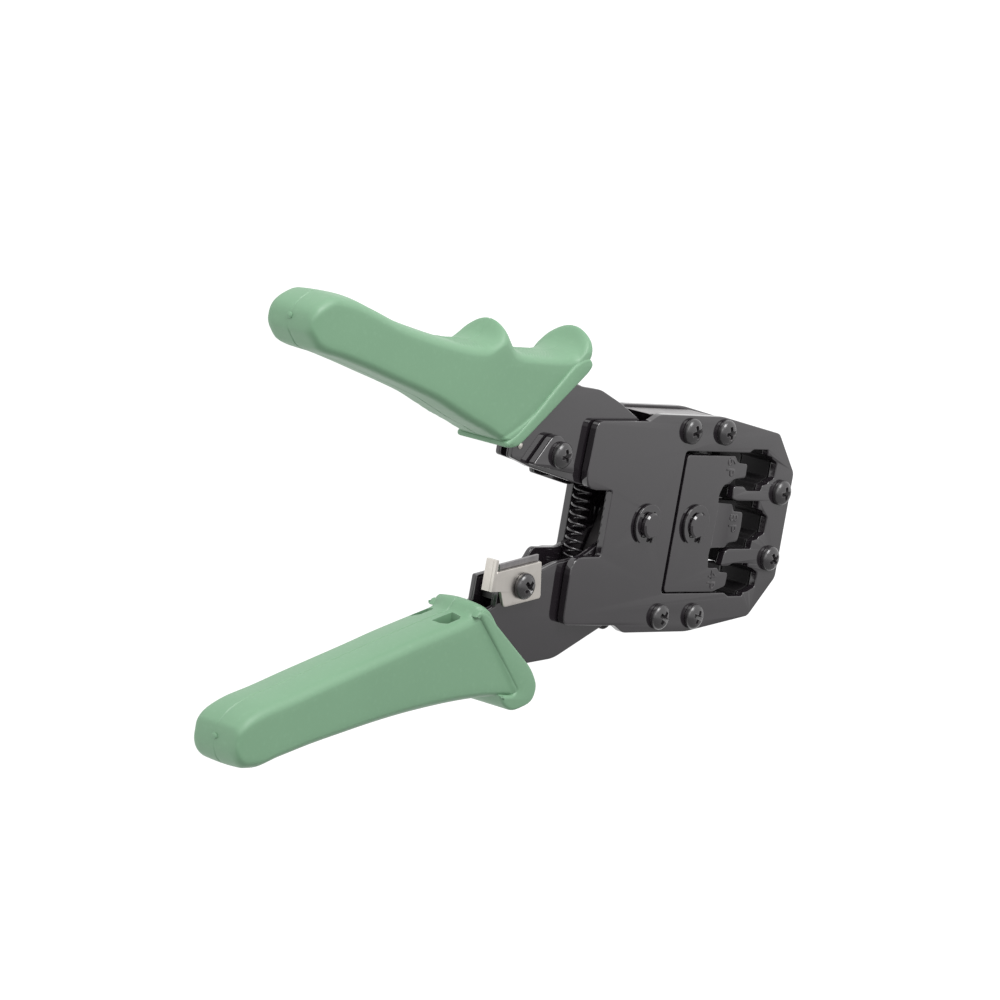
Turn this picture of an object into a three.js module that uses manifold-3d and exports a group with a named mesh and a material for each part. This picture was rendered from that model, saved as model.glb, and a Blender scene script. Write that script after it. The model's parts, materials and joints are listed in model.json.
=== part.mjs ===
// Modular-plug crimping tool with a toggle linkage, a wire blade and moulded grips.
// Units are millimetres. The tool lies flat: +X runs from the handles to the head, +Y from the lower
// handle to the upper one, and +Z up from the rear plate to the front plate. The origin is the rear
// end of the main pivot pin, on its axis.
import * as THREE from 'three';
import { mergeVertices } from 'three/addons/utils/BufferGeometryUtils.js';
import Module from 'manifold-3d';

const wasm = await Module();
wasm.setup();

// ---------------------------------------------------------------- driving dimensions
const GAP = 0.3; // running and assembly clearance between neighbours
const MID_Z = 7.7; // middle plane of the tool
const PLATE = 2.0; // head plates
const HEAD_HALF = 6.5; // half the thickness over both head plates
const FRONT_Z = MID_Z + HEAD_HALF;
const REAR_Z = MID_Z - HEAD_HALF;
const FRONT_PLATE = [FRONT_Z - PLATE, FRONT_Z];
const REAR_PLATE = [REAR_Z, REAR_Z + PLATE];
const INSIDE = [REAR_PLATE[1] + GAP, FRONT_PLATE[0] - GAP]; // what fits between the plates

const SHEET = 1.6; // handle channel sheet
const CHEEKS = [
  [INSIDE[0], INSIDE[0] + SHEET],
  [INSIDE[1] - SHEET, INSIDE[1]],
];
const CHANNEL = [INSIDE[0] + SHEET, INSIDE[1] - SHEET]; // clear width inside a channel
const CORE = [CHANNEL[0] + GAP, CHANNEL[1] - GAP];

const PIN_R = 3.05;
const CRANK = 14; // pivot pin to link pin, and link pin to ram pin
const RAM_PIN_X = 19;
const LINK_PIN = [RAM_PIN_X / 2, Math.sqrt(CRANK ** 2 - (RAM_PIN_X / 2) ** 2)];

const SCREW_R = 1.4;
const SCREW_HOLE_R = 1.7;
const SCREW_HEAD_R = 3.1;
const SCREW_HEAD = 2.1;
const PLATE_SCREWS = [
  [11.1, 22.6], [24.8, 22.6],
  [11.1, -22.4], [24.8, -22.4],
  [52, 8.2], [52, -8.2],
];

// One plug cavity per plug width: middle height, half height of the plug, of its latch and of the step.
const CAVITIES = {
  '6p': { y: 13.5, plug: 5.05, latch: 3.5, step: 2.3, nose: 37.2, ways: 6 },
  '8p': { y: 0, plug: 5.9, latch: 3.7, step: 2.4, nose: 39.0, ways: 8 },
  '4p': { y: -13.6, plug: 4.05, latch: 3.0, step: 2.1, nose: 37.0, ways: 4 },
};
const PLUG_WALL_X = 44;
const LATCH_WALL_X = 46.3;
const STEP_WALL_X = 48.6;
const FINGER_END_X = 33.5;
const CONTACT_PITCH = 1.02;

// ---------------------------------------------------------------- materials
function finish(colour, roughness, metalness) {
  return new THREE.MeshStandardMaterial({ color: colour, roughness, metalness });
}
const BLACK_STEEL = finish(0x2b282b, 0.3, 0.3);
const BLACK_SCREW = finish(0x1f1d1f, 0.35, 0.5);
const GREEN_GRIP = finish(0x6fa07c, 0.5, 0);
const BRIGHT_STEEL = finish(0xc9c5bd, 0.3, 0.9);
const GROUND_STEEL = finish(0x8a8683, 0.45, 0.9);
const DARK_STEEL = finish(0x4a4748, 0.4, 0.8);

// ---------------------------------------------------------------- shape helpers
// A closed outline through corner points [x, y, fillet]: the rounding starts and ends that far from the
// corner, or just short of half-way along a shorter side.
const MOST_OF_A_SIDE = 0.45;
function outline(corners) {
  const shape = new THREE.Shape();
  const count = corners.length;
  corners.forEach(([x, y, fillet = 0], i) => {
    const here = new THREE.Vector2(x, y);
    const before = new THREE.Vector2(...corners[(i + count - 1) % count].slice(0, 2));
    const after = new THREE.Vector2(...corners[(i + 1) % count].slice(0, 2));
    const shorter = Math.min(here.distanceTo(before), here.distanceTo(after));
    const reach = Math.min(fillet, MOST_OF_A_SIDE * shorter);
    const start = here.clone().add(before.sub(here).setLength(reach));
    const end = here.clone().add(after.sub(here).setLength(reach));
    if (i === 0) shape.moveTo(start.x, start.y);
    else shape.lineTo(start.x, start.y);
    if (fillet > 0) shape.quadraticCurveTo(x, y, end.x, end.y);
  });
  shape.closePath();
  return shape;
}

// A flat piece with the given outline, between two heights.
function sheet(corners, [low, high]) {
  const geometry = new THREE.ExtrudeGeometry(outline(corners), {
    depth: high - low,
    bevelEnabled: false,
    curveSegments: 4,
  });
  return geometry.translate(0, 0, low);
}

function disc([x, y], radius, [low, high], sides = 20) {
  return new THREE.CylinderGeometry(radius, radius, high - low, sides)
    .rotateX(Math.PI / 2)
    .translate(x, y, (low + high) / 2);
}

function block([x0, x1], [y0, y1], [z0, z1]) {
  return new THREE.BoxGeometry(x1 - x0, y1 - y0, z1 - z0)
    .translate((x0 + x1) / 2, (y0 + y1) / 2, (z0 + z1) / 2);
}

// A turned piece on an upright axis: the profile is [radius, height] from the axis and back to it.
function turned([x, y], profile, sides = 20) {
  const points = profile.map(([r, z]) => new THREE.Vector2(r, z));
  return new THREE.LatheGeometry(points, sides).rotateX(Math.PI / 2).translate(x, y, 0);
}

function solidOf(geometry) {
  const bare = new THREE.BufferGeometry();
  bare.setAttribute('position', geometry.getAttribute('position').clone());
  if (geometry.index) bare.setIndex(geometry.index.clone());
  const merged = mergeVertices(bare, 1e-4);
  return new wasm.Manifold(new wasm.Mesh({
    numProp: 3,
    vertProperties: new Float32Array(merged.attributes.position.array),
    triVerts: new Uint32Array(merged.index.array),
  }));
}

function geometryOf(solid) {
  const { vertProperties, triVerts } = solid.getMesh();
  const geometry = new THREE.BufferGeometry();
  geometry.setAttribute('position', new THREE.BufferAttribute(vertProperties, 3));
  geometry.setIndex(new THREE.BufferAttribute(triVerts, 1));
  geometry.computeVertexNormals();
  return geometry;
}

const join = (first, ...others) =>
  geometryOf(others.reduce((sum, other) => sum.add(solidOf(other)), solidOf(first)));
const cut = (body, ...tools) =>
  geometryOf(tools.reduce((left, tool) => left.subtract(solidOf(tool)), solidOf(body)));

const grown = ([low, high], by) => [low - by, high + by];
const mirrored = (corners) =>
  corners.map(([x, y, fillet]) => [x, -y, fillet]).reverse();

const tool = new THREE.Group();
function add(name, geometry, material) {
  const mesh = new THREE.Mesh(geometry, material);
  mesh.name = name;
  tool.add(mesh);
}

// ---------------------------------------------------------------- head plates
const HEAD_TOP = [
  [-15.3, 7.9, 0.8], [-26.1, 7.9, 4.5], [-25.4, 24.1, 2.2],
  [-5.2, 24.5, 0.8], [-1.6, 26.3, 1.2], [23.4, 26.3, 1.5], [47.8, 22.7, 1], [56.5, 13.1, 1],
];
const HEAD_OUTLINE = [...HEAD_TOP, ...mirrored(HEAD_TOP)];
// The rear plate's notch is shallower, and its top and bottom edges stand a little further out.
const REAR_TOP = [
  [-16.2, 7.9, 0.8], ...HEAD_TOP.slice(1, 3),
  [-5.2, 24.7, 0.8], [-1.8, 26.7, 1.2], [21.8, 26.7, 1.5], ...HEAD_TOP.slice(6),
];
const REAR_OUTLINE = [...REAR_TOP, ...mirrored(REAR_TOP)];

const WINDOW_X = 10.7;
const WINDOW_TOP = 17.7;
const WINDOW_BOTTOM = -16.8;

// The stepped right-hand end of a cavity, from its top corner round to its bottom corner.
function cavityEnd({ y, plug, latch, step }) {
  const top = [
    [PLUG_WALL_X, y + plug, 0.3], [PLUG_WALL_X + 0.2, y + latch + 0.2, 0.3],
    [LATCH_WALL_X, y + latch - 0.2, 0.3], [LATCH_WALL_X + 0.3, y + step + 0.5, 0.3],
    [STEP_WALL_X, y + step - 0.3, 0.5],
  ];
  const bottom = top.map(([x, high, fillet]) => [x, 2 * y - high, fillet]).reverse();
  return [...top, ...bottom];
}

// The slide's window and the three cavities are one opening, with two fingers between the cavities.
function windowOutline() {
  const { '6p': six, '8p': eight, '4p': four } = CAVITIES;
  return [
    [WINDOW_X, WINDOW_BOTTOM, 1.2], [WINDOW_X, WINDOW_TOP, 1.2],
    [36.6, WINDOW_TOP, 0.5], [38, six.y + six.plug, 0.5], ...cavityEnd(six),
    [38.1, six.y - six.plug, 0.4], [36.6, 9.5, 0.6], [FINGER_END_X - 0.9, 9.5, 0.9],
    [FINGER_END_X - 0.8, 6.4, 0.6], [35, eight.y + eight.plug, 0.5], ...cavityEnd(eight),
    [35, eight.y - eight.plug, 0.5], [FINGER_END_X + 0.2, -6.6, 0.6],
    [FINGER_END_X - 0.5, -10.2, 0.6], [36, -10.2, 0.5], [37.6, four.y + four.plug, 0.5],
    ...cavityEnd(four), [38, four.y - four.plug, 0.5], [36.4, WINDOW_BOTTOM, 0.5],
  ];
}

function headPlate(corners, height) {
  const through = grown(height, 1);
  const bores = PLATE_SCREWS.map((at) => disc(at, SCREW_HOLE_R, through, 8));
  return cut(sheet(corners, height), sheet(windowOutline(), through),
    disc([0, 0], PIN_R + 0.15, through), ...bores);
}

// ---------------------------------------------------------------- spacers and die block
const UPPER_SPACER = [
  [-3.6, 26, 0.6], [23.2, 26, 1], [45.5, 22.5, 0.5], [45.5, 19.7, 0.5],
  [10, 19.7, 0.5], [3.6, 21, 1.5],
];
const LOWER_SPACER = [
  [6.8, -25.8, 1], [6.8, -19.7, 1], [45.5, -19.7, 0.5], [45.5, -22.5, 0.5], [23.2, -26, 1],
];

function spacer(corners, screws) {
  const bores = screws.map((at) => disc(at, SCREW_HOLE_R, grown(INSIDE, 1), 8));
  return cut(sheet(corners, INSIDE), ...bores);
}

// The fixed dies: a back block with three stepped cavities, and two fingers between the plugs.
function dieBlock() {
  const outer = [
    [43.6, -19.3], [49, -19.3, 1], [55.2, -12.4, 1], [55.2, 12.4, 1], [49, 19.3, 1], [43.6, 19.3],
  ];
  const latchSpaces = Object.values(CAVITIES).map((cavity) =>
    sheet([[40, cavity.y + cavity.plug], ...cavityEnd(cavity), [40, cavity.y - cavity.plug]],
      grown(INSIDE, 1)));
  const bores = PLATE_SCREWS.slice(4).map((at) => disc(at, SCREW_HOLE_R, grown(INSIDE, 1), 8));
  const back = cut(sheet(outer, INSIDE), ...latchSpaces, ...bores);
  const { '6p': six, '8p': eight, '4p': four } = CAVITIES;
  const fingers = [
    [eight.y + eight.plug, six.y - six.plug],
    [four.y + four.plug, eight.y - eight.plug],
  ].map((span) => block([FINGER_END_X + 0.6, PLUG_WALL_X + 0.5], span, INSIDE));
  return join(back, ...fingers);
}

// ---------------------------------------------------------------- fasteners
// A pan-head cross-recess screw: the head sits on the seat height and the shank ends at the tip height.
function screw(at, seat, tip) {
  const top = seat + SCREW_HEAD;
  const body = turned(at, [
    [0, tip], [SCREW_R - 0.3, tip], [SCREW_R, tip + 0.3], [SCREW_R, seat], [SCREW_HEAD_R, seat],
    [SCREW_HEAD_R, seat + 0.7], [SCREW_HEAD_R - 0.5, top - 0.6], [SCREW_HEAD_R - 1.4, top - 0.1],
    [0, top],
  ], 12);
  const [x, y] = at;
  const arm = 1.5;
  const half = 0.35;
  const recess = [top - 0.9, top + 1];
  return cut(
    body,
    block([x - arm, x + arm], [y - half, y + half], recess),
    block([x - half, x + half], [y - arm, y + arm], recess),
  );
}

// A headed pin, with the groove that its retaining ring snaps into.
function headedPin(at, headLow, headHigh, ring, top) {
  return turned(at, [
    [0, headLow], [4.5, headLow], [4.5, headHigh], [PIN_R, headHigh],
    [PIN_R, ring[0] - 0.15], [2.3, ring[0] - 0.15], [2.3, ring[1] + 0.15], [PIN_R, ring[1] + 0.15],
    [PIN_R, top - 0.3], [PIN_R - 0.3, top], [0, top],
  ]);
}

// An open retaining ring, with its mouth towards -Y.
function retainingRing([x, y], height) {
  const through = grown(height, 1);
  const mouth = sheet([[x - 3.2, y - 6], [x + 3.2, y - 6], [x + 1.7, y], [x - 1.7, y]], through);
  return cut(disc([x, y], 4.9, height), disc([x, y], 2.45, through, 16), mouth);
}

// ---------------------------------------------------------------- slide
const SLIDE_PLATES = {
  front: [FRONT_PLATE[0] + 0.1, FRONT_PLATE[1] + 0.1],
  rear: [REAR_PLATE[0] - 0.1, REAR_PLATE[1] - 0.1],
};
const SLIDE_OUTLINE = [
  [11.6, WINDOW_BOTTOM + 0.3, 1.1], [11.6, WINDOW_TOP - 0.9, 1.1],
  [30.8, 16.9, 0.4], [32.3, 15.3, 1], [36.3, 15, 0.7], [36.4, 11.6, 0.7], [31.9, 11.3, 0.8],
  [30.4, 10, 0.5], [28.3, 9.9, 1], [26.9, 7.4, 1], [27.2, 5.3, 0.4], [33, 5.1, 0.5],
  [34, 3.4, 0.5], [37.9, 3.2, 0.9], [38.2, -0.5, 0], [37.7, -4.1, 0.9], [34.2, -4.4, 0.6],
  [32.8, -5.6, 0.5], [27.2, -5.8, 0.3], [27, -7.5, 0.3], [27.6, -10.6, 0.5], [31.4, -10.6, 0.4],
  [32.6, -11.6, 0.6], [36.1, -11.8, 0.7], [36, -15.1, 0.8], [31.1, -16.5, 0.5],
];
const RAM_X = [24.9, 28.6];
const PUNCH_SEAT_X = 33.4;
const PUNCH_Z = [INSIDE[0] + 0.2, INSIDE[0] + 5.4];
const STRAIN_Z = [PUNCH_Z[1] + GAP, INSIDE[1]];

function slidePlate(height, recessed) {
  const bored = cut(sheet(SLIDE_OUTLINE, height),
    disc([RAM_PIN_X, 0], PIN_R + 0.15, grown(height, 1)));
  if (!recessed) return bored;
  return cut(bored, block([27.6, 32.6], [-6.4, 5.8], [height[1] - 0.5, height[1] + 1]));
}

function punchHalf(cavity) {
  return (cavity.ways * CONTACT_PITCH) / 2 - 0.1;
}

// The ram between the slide plates: one bar with a carrier and a strain-relief nose for each cavity.
function ramBlock() {
  const carriers = Object.values(CAVITIES).flatMap((cavity) => {
    const carrier = Math.max(punchHalf(cavity) - 0.6, 1.6);
    const strain = cavity.plug - GAP;
    return [
      block([RAM_X[1] - 1, PUNCH_SEAT_X], [cavity.y - carrier, cavity.y + carrier],
        [INSIDE[0], PUNCH_Z[1]]),
      block([RAM_X[1] - 1, cavity.nose - 1.2], [cavity.y - strain, cavity.y + strain], STRAIN_Z),
    ];
  });
  return join(block(RAM_X, [-15.6, 15.8], INSIDE), ...carriers);
}

// A hardened punch with one ridge for each contact of the plug.
function punch(cavity) {
  const half = punchHalf(cavity);
  const face = cavity.nose - 2.4;
  const bar = block([PUNCH_SEAT_X + 0.05, face], [cavity.y - half, cavity.y + half], PUNCH_Z);
  const ridges = Array.from({ length: cavity.ways }, (_, i) => {
    const middle = cavity.y + (i - (cavity.ways - 1) / 2) * CONTACT_PITCH;
    return block([face - 0.3, face + 1.2], [middle - 0.22, middle + 0.22], PUNCH_Z);
  });
  return join(bar, ...ridges);
}

// ---------------------------------------------------------------- handle channels
const UPPER_OUTLINE = [
  [-120, 38.6, 1], [-120, 43.4, 1], [-36, 32.7], [-30, 31.6, 1], [-23.1, 31.1, 1.5],
  [-14.6, 28.1], [-7.2, 24.7], [1.5, 20.2, 2], [9.5, 18.2, 3], [16.2, 15.2, 4],
  [23.9, 3, 2], [23.9, -4.6, 3], [14.2, -4.6, 3], [13.2, 1, 2], [4.6, 4.9, 2.5],
  [1.8, 9.2, 2], [-1.5, 11.4, 2], [-9, 10.2, 3], [-24.6, 8.6, 2], [-45.1, 12.6],
  [-52.4, 14.7, 0.8], [-52.4, 22.6, 0.8], [-60, 25.4],
];
const LOWER_OUTLINE = [
  [-122, -49.6, 1], [-122, -43.8, 1], [-66, -27], [-56, -23], [-48.5, -19.9],
  [-48.5, -14.1, 0.5], [-33.4, -11.4], [-29, -9.9, 1], [-20, -8.6, 2], [-6.5, -1.6, 1.5],
  [3.5, -1], [6.2, -10, 3], [4.6, -18.4, 2], [0, -22, 2], [-6.6, -24.9], [-23.6, -32.6, 2],
  [-33.4, -33.6, 1], [-46, -36.2],
];
// The rear cheeks differ from the front ones beside the neck: the upper is shorter there with a
// stepped lower edge, and the lower has a raised shoulder.
const UPPER_REAR = [
  ...UPPER_OUTLINE.slice(0, 18), [-20, 7.2, 2], [-34.2, 9.9, 0.6], [-34.6, 11.2, 0.4],
  [-47.8, 14, 0.8], [-47.8, 22, 0.8], [-60, 25.4],
];
const LOWER_REAR = [
  ...LOWER_OUTLINE.slice(0, 6), [-33.4, -11.4], [-31.6, -10.7, 0.8], [-29.6, -7.6, 1.4],
  [-20.4, -7.6, 1.6], ...LOWER_OUTLINE.slice(9),
];
const UPPER_WEB = [
  [-120, 41.7], [-120, 43.4, 1], [-36, 32.7], [-31.5, 31.8], [-31.5, 29.9], [-36, 31],
];
const LOWER_WEB = [
  [-122, -49.6, 1], [-122, -47.8], [-46, -34.4], [-34, -31.3], [-34, -33], [-46, -36.2],
];
const PIVOT_BOSS_R = 5.6;
const UPPER_SCREW = [-37.3, 16];
const LOWER_SCREW = [-42.2, -14.7];

// The two cheeks and the web along the outer edge, with every bore that crosses them.
function channel(frontOutline, rearOutline, web, bosses, bores) {
  const cheeks = CHEEKS.flatMap((height, i) => [
    sheet(i === 0 ? rearOutline : frontOutline, height),
    ...bosses.map(([at, radius]) => disc(at, radius, height)),
  ]);
  const holes = bores.map(([at, radius]) => disc(at, radius, grown(INSIDE, 1)));
  const body = join(sheet(web, grown(CHANNEL, 0.4)), ...cheeks);
  return cut(body, ...holes);
}

// ---------------------------------------------------------------- toggle parts
const ARM_OUTLINE = [
  [-6.5, 4, 3], [3.5, 17.5, 4], [14, 16.8, 4], [16.2, 8, 4], [6.8, -3, 3],
  [4.6, -20.5, 2], [-3, -26.6, 1.5], [-15, -24, 3], [-13, -12.5, 3],
];
const ARM_RIVET = [-4, -19];
const LINK_PIN_R = 2.6;

// ---------------------------------------------------------------- blade, anvil and wire stop
const BLADE_Z = [INSIDE[1] + 0.15, INSIDE[1] + 0.85];
const STOP_Z = [BLADE_Z[1] + 0.1, BLADE_Z[1] + 1];
const ANVIL_Z = [INSIDE[1] + 0.15, INSIDE[1] + 2.25];
const STOP_DEPTH = 3.2;
const BLADE_OUTLINE = [[-50.7, -10], [-37, -7.6], [-35.6, -17], [-46.4, -18.9], [-47.6, -16.9]];
const STOP_TAB_X = [-53.2, -52.3];
const STOP_OUTLINE = [
  [STOP_TAB_X[0], -16.2], [STOP_TAB_X[1], -11.6, 0.2], [-36.7, -9, 0.6], [-34.8, -17.7, 0.8],
  [-47.9, -19.8, 0.8], [-49.8, -16.2, 0.3],
];
const ANVIL_OUTLINE = [
  [-46.6, 13.4, 0.8], [-40.9, 20.4, 1.8], [-37.6, 20.5, 1.8], [-31.6, 14.8, 1.5], [-31, 11.6, 0.6],
];

function wireStop() {
  const tab = block(STOP_TAB_X, [-16.2, -8.8], [STOP_Z[1] - STOP_DEPTH, STOP_Z[1]]);
  const plate = join(sheet(STOP_OUTLINE, STOP_Z), tab);
  return cut(plate, disc(LOWER_SCREW, SCREW_HOLE_R, grown(STOP_Z, 1), 8));
}

function boredSheet(corners, height, at) {
  return cut(sheet(corners, height), disc(at, SCREW_HOLE_R, grown(height, 1), 8));
}

// ---------------------------------------------------------------- return spring
const SPRING_AT = [-18.2, MID_Z];
const SPRING_HALF = 12;
const SPRING_R = 2.05;
const WIRE_R = 0.3;
const COILS = 14;

class Helix extends THREE.Curve {
  getPoint(t, target = new THREE.Vector3()) {
    const turn = t * COILS * 2 * Math.PI;
    const reach = SPRING_HALF - WIRE_R - 0.1;
    return target.set(
      SPRING_AT[0] + SPRING_R * Math.cos(turn),
      -reach + 2 * reach * t,
      SPRING_AT[1] + SPRING_R * Math.sin(turn),
    );
  }
}

function returnSpring() {
  const wire = new THREE.Shape().absarc(0, 0, WIRE_R, 0, 2 * Math.PI);
  return new THREE.ExtrudeGeometry(wire, {
    steps: COILS * 7,
    curveSegments: 2,
    bevelEnabled: false,
    extrudePath: new Helix(),
  });
}

// ---------------------------------------------------------------- grips
// Each station is [x, bottom, side top, crown above it at the middle, half thickness].
const UPPER_GRIP = [
  [-130.6, 41.4, 43.4, 0, 5], [-130, 40, 45, 0.1, 6.3], [-128.8, 38.8, 46.2, 0.2, 6.9],
  [-126.5, 37.2, 47.6, 0.4, 7], [-123, 36.2, 48.6, 0.6, 7], [-118, 35.4, 48.1, 0.9, 7],
  [-108, 33, 45.6, 0.9, 7], [-98, 30.5, 42.7, 1, 7], [-88, 28, 40.8, 0.9, 7],
  [-79, 25.2, 39.7, 0.8, 7], [-73, 23.2, 39.2, 1, 7], [-68, 21.5, 39.6, 1.1, 7],
  [-65.4, 20.8, 41, 1.4, 7], [-63.4, 20.2, 41.4, 4.2, 7], [-62, 19.9, 40.4, 3.4, 7],
  [-60, 19.3, 39, 2, 7], [-57, 18.8, 38.2, 1.2, 7], [-53, 18.8, 38, 1, 7],
  [-47, 23.6, 37.9, 1, 7], [-40, 29.2, 37.9, 1.3, 7], [-36, 32.4, 39.2, 1.8, 7],
  [-33.4, 34.6, 40.8, 4, 7], [-32.2, 35.8, 41, 4.1, 6.8], [-31.2, 37, 39.6, 3.6, 6.4],
];
const LOWER_GRIP = [
  [-132, -49.9, -46.6, 0, 5], [-131.4, -52.2, -45.3, 0.2, 6.3], [-130.2, -53.5, -44.4, 0.5, 6.9],
  [-128, -54.4, -43.1, 0.8, 7], [-125, -54.4, -41.6, 1.1, 7], [-121, -53.7, -40.4, 1.2, 7],
  [-112, -51, -37.7, 1.2, 7], [-97, -47.2, -33.3, 1.2, 7], [-82, -44.1, -28.9, 1.2, 7],
  [-70, -42.4, -25.3, 1.2, 7], [-61, -41.3, -22.6, 1.2, 7], [-58.6, -41.1, -21.6, 1, 7],
  [-57, -40.9, -19.9, 0.5, 7.3], [-55, -40.7, -20.1, 0.3, 7.3], [-50, -40.4, -23.7, 0.3, 7],
  [-46, -41.4, -26.8, 0.3, 7], [-42.6, -43, -29.4, 0.3, 7], [-39, -43.6, -32, 0.3, 7],
  [-35.4, -43, -34.6, 0.3, 6.8], [-33.2, -41.6, -36.6, 0, 6],
];
const ROUNDNESS = 4.5; // exponent of the grips' rounded-rectangle section
const UPPER_COLLAR = [
  [-58.7, 17.4, 0.5], [-56.6, 16.9, 1], [-53.9, 18.1, 1.5], [-33, 35.2, 1], [-31, 37.8, 1],
  [-33.4, 38.8, 1], [-37.8, 35.6, 1.5], [-57, 20, 1],
];
const LOWER_COLLAR = [
  [-59.4, -21.6, 0.8], [-58.6, -18.5, 1.2], [-55, -19.4, 1.5], [-34.6, -34.8, 1.5],
  [-32.3, -38.6, 1.5], [-33.6, -42, 2], [-39.6, -43.8, 2], [-43.4, -42.4, 1], [-37.6, -38, 1],
  [-54.2, -22.8, 1.5],
];
const COLLAR_HALF = 7.55;

// A skin through the stations: each section is a rounded rectangle whose top may rise to a crown.
function gripSkin(stations) {
  const geometry = new THREE.CylinderGeometry(1, 1, 1, 16, stations.length - 1);
  const position = geometry.getAttribute('position');
  for (let i = 0; i < position.count; i += 1) {
    const along = Math.round((position.getY(i) + 0.5) * (stations.length - 1));
    const [x, bottom, sideTop, crown, half] = stations[along];
    const square = (v) => Math.sign(v) * Math.abs(v) ** (2 / ROUNDNESS);
    const side = square(position.getX(i));
    const up = square(position.getZ(i));
    const lift = up > 0 ? crown * up * (1 - side * side) : 0;
    const y = (bottom + sideTop) / 2 + ((sideTop - bottom) / 2) * up + lift;
    position.setXYZ(i, x, y, MID_Z + half * side);
  }
  return geometry;
}

// Moves each corner of an outline outwards by the given distance, along the mean of its sides' normals.
function offset(corners, by) {
  const count = corners.length;
  const turn = Math.sign(THREE.ShapeUtils.area(corners.map(([x, y]) => ({ x, y }))));
  return corners.map(([x, y, fillet], i) => {
    const before = corners[(i + count - 1) % count];
    const after = corners[(i + 1) % count];
    const a = new THREE.Vector2(y - before[1], before[0] - x).normalize();
    const b = new THREE.Vector2(after[1] - y, x - after[0]).normalize();
    const mean = a.clone().add(b).normalize();
    const reach = (turn * by) / Math.max(mean.dot(a), 0.5);
    return [x + mean.x * reach, y + mean.y * reach, fillet];
  });
}

function grip(stations, collar, channelOutline) {
  const flange = sheet(collar, [MID_Z - COLLAR_HALF, MID_Z + COLLAR_HALF]);
  const pocket = sheet(offset(channelOutline, GAP), grown(INSIDE, GAP));
  return cut(join(gripSkin(stations), flange), pocket);
}

// ---------------------------------------------------------------- assembly
add('front_plate', headPlate(HEAD_OUTLINE, FRONT_PLATE), BLACK_STEEL);
add('rear_plate', headPlate(REAR_OUTLINE, REAR_PLATE), BLACK_STEEL);
add('upper_spacer', spacer(UPPER_SPACER, PLATE_SCREWS.slice(0, 2)), GROUND_STEEL);
add('lower_spacer', spacer(LOWER_SPACER, PLATE_SCREWS.slice(2, 4)), GROUND_STEEL);
add('die_block', dieBlock(), BLACK_STEEL);
PLATE_SCREWS.forEach((at, i) => {
  add(`plate_screw_${i + 1}`, screw(at, FRONT_Z + 0.1, REAR_Z + 0.2), BLACK_SCREW);
});

const PIVOT_RING = [FRONT_Z + 0.15, FRONT_Z + 0.85];
const RAM_RING = [SLIDE_PLATES.front[1] + 0.15, SLIDE_PLATES.front[1] + 0.85];
add('pivot_pin', headedPin([0, 0], 0, REAR_Z - 0.2, PIVOT_RING, FRONT_Z + 2.25), BLACK_STEEL);
add('pivot_ring', retainingRing([0, 0], PIVOT_RING), BLACK_STEEL);

add('slide_front_plate', slidePlate(SLIDE_PLATES.front, true), BLACK_STEEL);
add('slide_rear_plate', slidePlate(SLIDE_PLATES.rear, false), BLACK_STEEL);
add('ram_block', ramBlock(), BLACK_STEEL);
for (const [ways, cavity] of Object.entries(CAVITIES)) {
  add(`crimp_punch_${ways}`, punch(cavity), GROUND_STEEL);
}
add('ram_pin', headedPin([RAM_PIN_X, 0], 0.4, SLIDE_PLATES.rear[0] - 0.2, RAM_RING,
  FRONT_Z + 1.8), BLACK_STEEL);
add('ram_ring', retainingRing([RAM_PIN_X, 0], RAM_RING), BLACK_STEEL);

add('upper_handle', channel(UPPER_OUTLINE, UPPER_REAR, UPPER_WEB, [], [
  [LINK_PIN, LINK_PIN_R + 0.1], [[RAM_PIN_X, 0], PIN_R + 0.45], [UPPER_SCREW, SCREW_HOLE_R],
]), BLACK_STEEL);
add('lower_handle', channel(LOWER_OUTLINE, LOWER_REAR, LOWER_WEB, [[[0, 0], PIVOT_BOSS_R]], [
  [[0, 0], PIN_R + 0.15], [ARM_RIVET, 2.15], [LOWER_SCREW, SCREW_HOLE_R],
]), BLACK_STEEL);
add('toggle_arm', cut(sheet(ARM_OUTLINE, CORE),
  disc([0, 0], PIN_R + 0.15, grown(CORE, 1)),
  disc(LINK_PIN, LINK_PIN_R + 0.15, grown(CORE, 1)),
  disc(ARM_RIVET, 2.15, grown(CORE, 1))), DARK_STEEL);
add('arm_rivet', disc(ARM_RIVET, 2, INSIDE), DARK_STEEL);
add('link_pin', disc(LINK_PIN, LINK_PIN_R - 0.05, INSIDE), DARK_STEEL);

const SEAT_X = [SPRING_AT[0] - 3.6, SPRING_AT[0] + 3.6];
add('upper_spring_seat', block(SEAT_X, [SPRING_HALF + 0.2, SPRING_HALF + 2.6], CORE), DARK_STEEL);
add('lower_spring_seat', block(SEAT_X, [-SPRING_HALF - 2.6, -SPRING_HALF - 0.2], CORE), DARK_STEEL);
add('return_spring', returnSpring(), BLACK_STEEL);

add('blade', boredSheet(BLADE_OUTLINE, BLADE_Z, LOWER_SCREW), GROUND_STEEL);
add('wire_stop', wireStop(), BRIGHT_STEEL);
add('wire_stop_screw', screw(LOWER_SCREW, STOP_Z[1] + 0.1, CHANNEL[0] + 1), BLACK_SCREW);
add('blade_nut', boredSheet([[-46, -19], [-46, -15.2], [-38, -13.6], [-38, -19]],
  CORE, LOWER_SCREW), DARK_STEEL);
add('anvil_plate', boredSheet(ANVIL_OUTLINE, ANVIL_Z, UPPER_SCREW), BLACK_STEEL);
add('anvil_screw', screw(UPPER_SCREW, ANVIL_Z[1] + 0.1, CHANNEL[0] + 1), BLACK_SCREW);
add('anvil_nut', boredSheet([[-41, 13.4], [-41, 19.5], [-33.5, 19.5], [-33.5, 12.2]],
  CORE, UPPER_SCREW), DARK_STEEL);

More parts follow.
